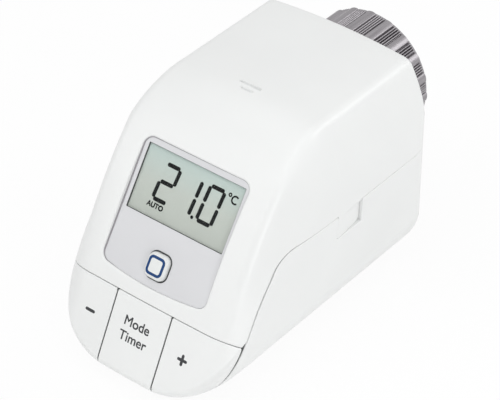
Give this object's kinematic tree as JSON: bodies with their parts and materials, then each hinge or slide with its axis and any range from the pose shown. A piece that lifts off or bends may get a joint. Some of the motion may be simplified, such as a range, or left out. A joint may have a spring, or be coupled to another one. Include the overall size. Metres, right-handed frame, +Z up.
{
  "type": "thermostatic radiator valve",
  "caption": "Electronic radiator thermostat head with slanted display face, chin keys, slide-off battery cover, geared pusher drive and a free-turning union nut.",
  "frame": {"origin": "centre of the bounding box's underside, where the battery cover stands", "axes": "+Z up, +Y along the valve axis towards the union nut, +X to the right of a viewer facing the display"},
  "size_m": [0.0582, 0.1016, 0.065],
  "materials": {
    "white_shell": "fine satin moulding",
    "panel_grey": "smooth satin",
    "clear_window": "clear gloss",
    "lcd": "grey-green display glass",
    "light_guide": "translucent blue",
    "nut_metal": "satin plated",
    "board": "solder mask",
    "frame_grey": "moulded",
    "rubber": "matt",
    "black_plastic": "moulded",
    "tin_can": "tinned",
    "steel": "plain",
    "nickel": "plated",
    "brass": "machined",
    "gear_white": "moulded",
    "cell_wrap": "printed wrap",
    "collar_black": "moulded"
  },
  "bodies": {
    "head": {"upper_housing": "white_shell", "key_hinge_pin": "steel", "hinge_post_left": "frame_grey", "hinge_post_right": "frame_grey", "display_panel": "panel_grey", "display_window": "clear_window", "lcd_glass": "lcd", "contact_strip": "rubber", "light_box": "white_shell", "circuit_board": "board", "board_screw_left": "steel", "board_screw_right": "steel", "switch_minus": "black_plastic", "switch_centre": "black_plastic", "switch_plus": "black_plastic", "switch_system": "black_plastic", "radio_module": "tin_can", "valve_collar": "collar_black", "retaining_ring": "steel", "idler_axle": "steel", "motor": "tin_can", "motor_cap": "black_plastic", "gear_plate": "frame_grey", "gear_screw_left": "steel", "gear_screw_right": "steel", "chassis": "frame_grey", "chassis_screw_left_rear": "steel", "chassis_screw_left_front": "steel", "chassis_screw_right_rear": "steel", "chassis_screw_right_front": "steel", "cell_left": "cell_wrap", "cell_right": "cell_wrap", "contact_bridge": "nickel", "contact_minus": "nickel", "contact_plus": "nickel", "spring_front": "nickel", "spring_rear": "nickel"},
    "cover": {"battery_cover": "white_shell"},
    "minus": {"minus_key": "white_shell"},
    "centre": {"centre_key": "white_shell"},
    "plus": {"plus_key": "white_shell"},
    "button": {"system_button": "white_shell", "light_ring": "light_guide"},
    "nut": {"union_nut": "nut_metal"},
    "spindle": {"spindle_gear": "gear_white"},
    "idler": {"idler_gear": "gear_white"},
    "pinion": {"motor_pinion": "brass"},
    "plunger": {"pusher": "steel"}
  },
  "joints": [
    {"name": "nut_spin", "type": "hinge", "parent": "head", "child": "nut", "pos_m": [0, 0.051, 0.04275], "axis": [0, 1, 0], "continuous": true},
    {"name": "cover_pull", "type": "slide", "parent": "head", "child": "cover", "axis": [0, 0, -1], "range_m": [0, 0.045]},
    {"name": "minus_press", "type": "hinge", "parent": "head", "child": "minus", "pos_m": [-0.015, -0.03939, 0.0185], "axis": [1, 0, 0], "range_deg": [0, 1.2], "stiffness_Nm_per_rad": 0.2, "springref_deg": -4.58},
    {"name": "centre_press", "type": "hinge", "parent": "head", "child": "centre", "pos_m": [0, -0.03939, 0.0185], "axis": [1, 0, 0], "range_deg": [0, 1.2], "stiffness_Nm_per_rad": 0.2, "springref_deg": -4.58},
    {"name": "plus_press", "type": "hinge", "parent": "head", "child": "plus", "pos_m": [0.015, -0.03939, 0.0185], "axis": [1, 0, 0], "range_deg": [0, 1.2], "stiffness_Nm_per_rad": 0.2, "springref_deg": -4.58},
    {"name": "button_press", "type": "slide", "parent": "head", "child": "button", "axis": [0, 0.8266, -0.5628], "range_m": [0, 0.0005], "stiffness_N_per_m": 600, "springref_m": -0.0025},
    {"name": "pusher_push", "type": "slide", "parent": "head", "child": "plunger", "axis": [0, 1, 0], "range_m": [0, 0.0043]},
    {"name": "spindle_turn", "type": "hinge", "parent": "head", "child": "spindle", "pos_m": [0, 0.0246, 0.04275], "axis": [0, 1, 0], "range_deg": [-3, 1035]},
    {"name": "idler_turn", "type": "hinge", "parent": "head", "child": "idler", "pos_m": [0.0106, 0.0205, 0.05205], "axis": [0, 1, 0], "range_deg": [-3795, 11]},
    {"name": "pinion_turn", "type": "hinge", "parent": "head", "child": "pinion", "pos_m": [0, 0.0205, 0.052], "axis": [0, 1, 0], "range_deg": [-35, 12144]}
  ],
  "couplings": [
    {"joint": "spindle_turn", "follows": "pusher_push", "rad_per_m": 4188.8},
    {"joint": "idler_turn", "follows": "pusher_push", "rad_per_m": -15359},
    {"joint": "pinion_turn", "follows": "pusher_push", "rad_per_m": 49148}
  ]
}
